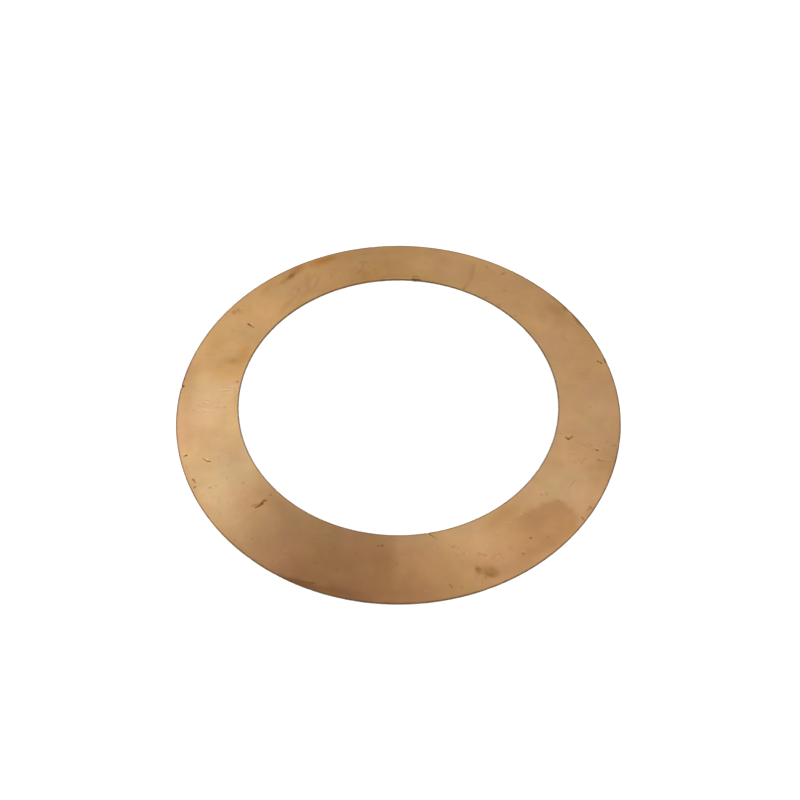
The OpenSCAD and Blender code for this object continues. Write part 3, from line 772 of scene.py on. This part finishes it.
def bronze():
    mat = bpy.data.materials.new("rolled_bronze")
    mat.use_nodes = True
    t = Nodes(mat.node_tree)
    place = t.node("ShaderNodeTexCoord").outputs["Object"]

    # textures at the sizes seen on rolled strip: broad clouding, mottling, fine specks and drawn-out rolling lines
    cloud = t.texture(place, 45.0, 3.0, 0.5)
    tone = t.texture(place, 62.0, 5.0, 0.64)
    hue = t.texture(place, 95.0, 4.0, 0.60, (1.0, 1.0, 1.0), 33.0)
    mottle = t.texture(place, 150.0, 4.0, 0.55)
    speck = t.texture(place, 1500.0, 3.0, 0.6)
    grain = t.texture(place, 2200.0, 3.0, 0.6, (0.02, 1.0, 1.0), 8.0)
    long_grain = t.texture(place, 420.0, 3.0, 0.6, (0.015, 1.0, 1.0), 8.0)

    # marks lie on the upper face, so their height is ignored; their outlines are made a little uneven
    face = t.node("ShaderNodeVectorMath", operation="MULTIPLY")
    t.feed(face.inputs[0], place)
    face.inputs[1].default_value = (1.0, 1.0, 0.0)
    wobble = t.node("ShaderNodeTexNoise")
    t.feed(wobble.inputs["Vector"], place)
    wobble.inputs["Scale"].default_value = 2600.0
    wobble.inputs["Detail"].default_value = 2.0
    off = t.vector("SUBTRACT", wobble.outputs["Color"], (0.5, 0.5, 0.5))
    off = t.vector("MULTIPLY", off, (0.00022, 0.00022, 0.0))
    spot = t.vector("ADD", face.outputs[0], off)
    fine = marks(t, spot, [row[:6] for row in FINE])
    painted_highlight = marks(t, spot, PAINTED_HIGHLIGHTS)
    top = t.attribute("upper")
    fine = t.math("MULTIPLY", fine, top)
    painted_highlight = t.math("MULTIPLY", painted_highlight, top)

    # sparse tiny dark flecks all over, and tiny painted glints among them
    cells = t.node("ShaderNodeTexVoronoi", feature="F1", voronoi_dimensions="2D")
    t.feed(cells.inputs["Vector"], t.vector("ADD", place, t.vector("MULTIPLY", off, (3.0, 3.0, 0.0))))
    cells.inputs["Scale"].default_value = 230.0
    pick = t.node("ShaderNodeSeparateColor")
    t.feed(pick.inputs[0], cells.outputs["Color"])
    fleck = t.math("MULTIPLY", t.ramp(cells.outputs["Distance"], 0.030, 0.085, 1.0, 0.0), t.ramp(pick.outputs[0], 0.70, 1.0))
    glint = t.math("MULTIPLY", t.ramp(cells.outputs["Distance"], 0.030, 0.075, 1.0, 0.0), t.ramp(pick.outputs[1], 0.80, 1.0))

    colour = t.mix(t.ramp(cloud, 0.30, 0.70), (0.785, 0.452, 0.206), (0.815, 0.478, 0.224))
    # pale film, partly a painted highlight
    colour = t.mix(t.attribute("pale"), colour, (0.865, 0.565, 0.292))
    colour = t.mix(t.attribute("green"), colour, (0.790, 0.556, 0.296))
    # warm tarnish, partly painted shade over the near left
    colour = t.mix(t.attribute("warm"), colour, (0.800, 0.405, 0.178))
    colour = t.mix(t.attribute("amber"), colour, (0.775, 0.432, 0.158))
    colour = t.mix(t.math("MULTIPLY", t.attribute("smudge"), t.ramp(mottle, 0.25, 0.7, 0.80, 1.0)), colour, (0.615, 0.290, 0.113))
    # painted shade in part: the shade field darkens the colour
    colour = t.mix(t.attribute("shade"), colour, (0.80, 0.76, 0.72), "MULTIPLY")
    colour = t.mix(t.attribute("film"), colour, (0.48, 0.40, 0.58), "MULTIPLY")
    colour = t.mix(t.math("MULTIPLY", t.attribute("rust"), t.ramp(mottle, 0.25, 0.7, 0.75, 1.0)), colour, (0.700, 0.282, 0.072))
    colour = t.mix(1.0, colour, t.ramp(tone, 0.20, 0.80, 0.81, 1.19, "LINEAR"), "MULTIPLY")
    colour = t.mix(1.0, colour, t.mix(t.ramp(hue, 0.25, 0.75), (1.019, 0.979, 1.058), (0.981, 1.020, 0.935)), "MULTIPLY")
    colour = t.mix(t.math("MULTIPLY", t.ramp(long_grain, 0.50, 0.72), 0.02), colour, (0.60, 0.33, 0.14))
    colour = t.mix(t.math("MULTIPLY", t.attribute("olive"), t.ramp(mottle, 0.25, 0.6, 0.65, 0.95)), colour, (0.640, 0.358, 0.104))
    stain = t.math("MULTIPLY", t.attribute("stain"), t.ramp(speck, 0.25, 0.65, 0.75, 1.0))
    colour = t.mix(stain, colour, (0.400, 0.185, 0.052))
    colour = t.mix(t.math("MULTIPLY", fleck, 0.24), colour, (0.330, 0.165, 0.060))
    # painted highlights beside the marks, and painted glints
    colour = t.mix(t.math("MULTIPLY", t.math("MAXIMUM", painted_highlight, t.math("MULTIPLY", glint, 0.30)), 0.85), colour, (0.98, 0.72, 0.44))
    colour = t.mix(fine, colour, (0.270, 0.098, 0.012))
    edge = t.math("MULTIPLY", t.attribute("edge"), t.ramp(speck, 0.3, 0.7, 0.75, 1.0))
    colour = t.mix(edge, colour, (0.115, 0.076, 0.042))

    rough = t.ramp(cloud, 0.3, 0.7, 0.185, 0.215)
    rough = t.math("ADD", rough, t.ramp(grain, 0.3, 0.7, -0.004, 0.004))
    rough = t.math("ADD", rough, t.math("MULTIPLY", t.attribute("pale"), 0.02))
    rough = t.math("ADD", rough, t.math("MULTIPLY", t.attribute("smudge"), 0.05))
    rough = t.math("ADD", rough, t.math("MULTIPLY", stain, 0.14))
    rough = t.math("ADD", rough, t.math("MULTIPLY", edge, 0.14))
    rough = t.math("ADD", rough, t.math("MULTIPLY", fine, 0.14), True)

    height = t.math("ADD", t.math("MULTIPLY", grain, 0.04), t.math("MULTIPLY", speck, 0.12))
    height = t.math("SUBTRACT", height, t.math("MULTIPLY", fleck, 0.6))
    bump = t.node("ShaderNodeBump")
    bump.inputs["Strength"].default_value = 0.35
    bump.inputs["Distance"].default_value = 0.000008
    t.feed(bump.inputs["Height"], height)

    shader = t.node("ShaderNodeBsdfPrincipled")
    shader.inputs["Metallic"].default_value = 1.0
    t.feed(shader.inputs["Base Color"], colour)
    t.feed(shader.inputs["Roughness"], rough)
    t.feed(shader.inputs["Normal"], bump.outputs[0])
    out = t.node("ShaderNodeOutputMaterial")
    t.feed(out.inputs["Surface"], shader.outputs[0])
    return mat


mesh.materials.append(bronze())
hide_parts("thrust_washer")
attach(washer, "root")

# ---------------------------------------------------------------- pale floor
floor_mesh = bpy.data.meshes.new("floor")
side = 6.0
floor_mesh.from_pydata([(-side, -side, 0.0), (side, -side, 0.0), (side, side, 0.0), (-side, side, 0.0)], [], [(0, 1, 2, 3)])
floor = bpy.data.objects.new("floor", floor_mesh)
scene.collection.objects.link(floor)
floor_mat = bpy.data.materials.new("pale_floor")
floor_mat.use_nodes = True
ft = Nodes(floor_mat.node_tree)
matte = ft.node("ShaderNodeBsdfPrincipled")
matte.inputs["Base Color"].default_value = (0.90, 0.90, 0.90, 1.0)
matte.inputs["Roughness"].default_value = 0.9
matte.inputs["Specular IOR Level"].default_value = 0.1
fo = ft.node("ShaderNodeOutputMaterial")
ft.feed(fo.inputs["Surface"], matte.outputs[0])
floor_mesh.materials.append(floor_mat)

# ---------------------------------------------------------------- soft studio light
scene.view_settings.view_transform = "Standard"
scene.view_settings.look = "None"
scene.view_settings.exposure = 0.0


def aim(azimuth, elevation):
    """Unit vector: azimuth 0 is +Y, positive towards +X."""
    a, e = math.radians(azimuth), math.radians(elevation)
    return (math.sin(a) * math.cos(e), math.cos(a) * math.cos(e), math.sin(e))


world = bpy.data.worlds.new("studio")
scene.world = world
world.use_nodes = True
w = Nodes(world.node_tree)
way = w.node("ShaderNodeTexCoord").outputs["Generated"]
height = w.node("ShaderNodeSeparateXYZ")
w.feed(height.inputs[0], way)


def panel(azimuth, elevation, inner, outer):
    """1 within inner degrees of a direction, fading to 0 at outer degrees."""
    return w.ramp(w.vector("DOT_PRODUCT", way, aim(azimuth, elevation)), math.cos(math.radians(outer)), math.cos(math.radians(inner)))


light = w.mix(w.ramp(height.outputs[2], 0.05, 0.60), (1.0, 1.0, 1.0), (0.553, 0.553, 0.553))
light = w.mix(w.ramp(height.outputs[2], 0.60, 0.98), light, (0.688, 0.688, 0.688))
light = w.mix(panel(-47.9, 59.9, 2.0, 32.1), light, (0.916, 0.916, 0.916))
light = w.mix(panel(-17.1, 67.4, 2.0, 12.6), light, (0.309, 0.309, 0.309))
sky = w.node("ShaderNodeBackground")
w.feed(sky.inputs["Color"], light)
sky.inputs["Strength"].default_value = 1.0
wo = w.node("ShaderNodeOutputWorld")
w.feed(wo.inputs["Surface"], sky.outputs[0])


def far_light(name, azimuth, elevation, strength, spread):
    """A broad, soft and even light from one side, as wide as spread degrees."""
    data = bpy.data.lights.new(name, "SUN")
    data.energy, data.angle = strength, math.radians(spread)
    lamp = bpy.data.objects.new(name, data)
    lamp.rotation_mode = "QUATERNION"
    lamp.rotation_quaternion = Vector(aim(azimuth, elevation)).to_track_quat("Z", "Y")
    lamp.visible_glossy = False
    scene.collection.objects.link(lamp)
    return lamp


far_light("front_light", 175.0, 62.0, 2.45, 42.0)

bpy.context.view_layer.update()
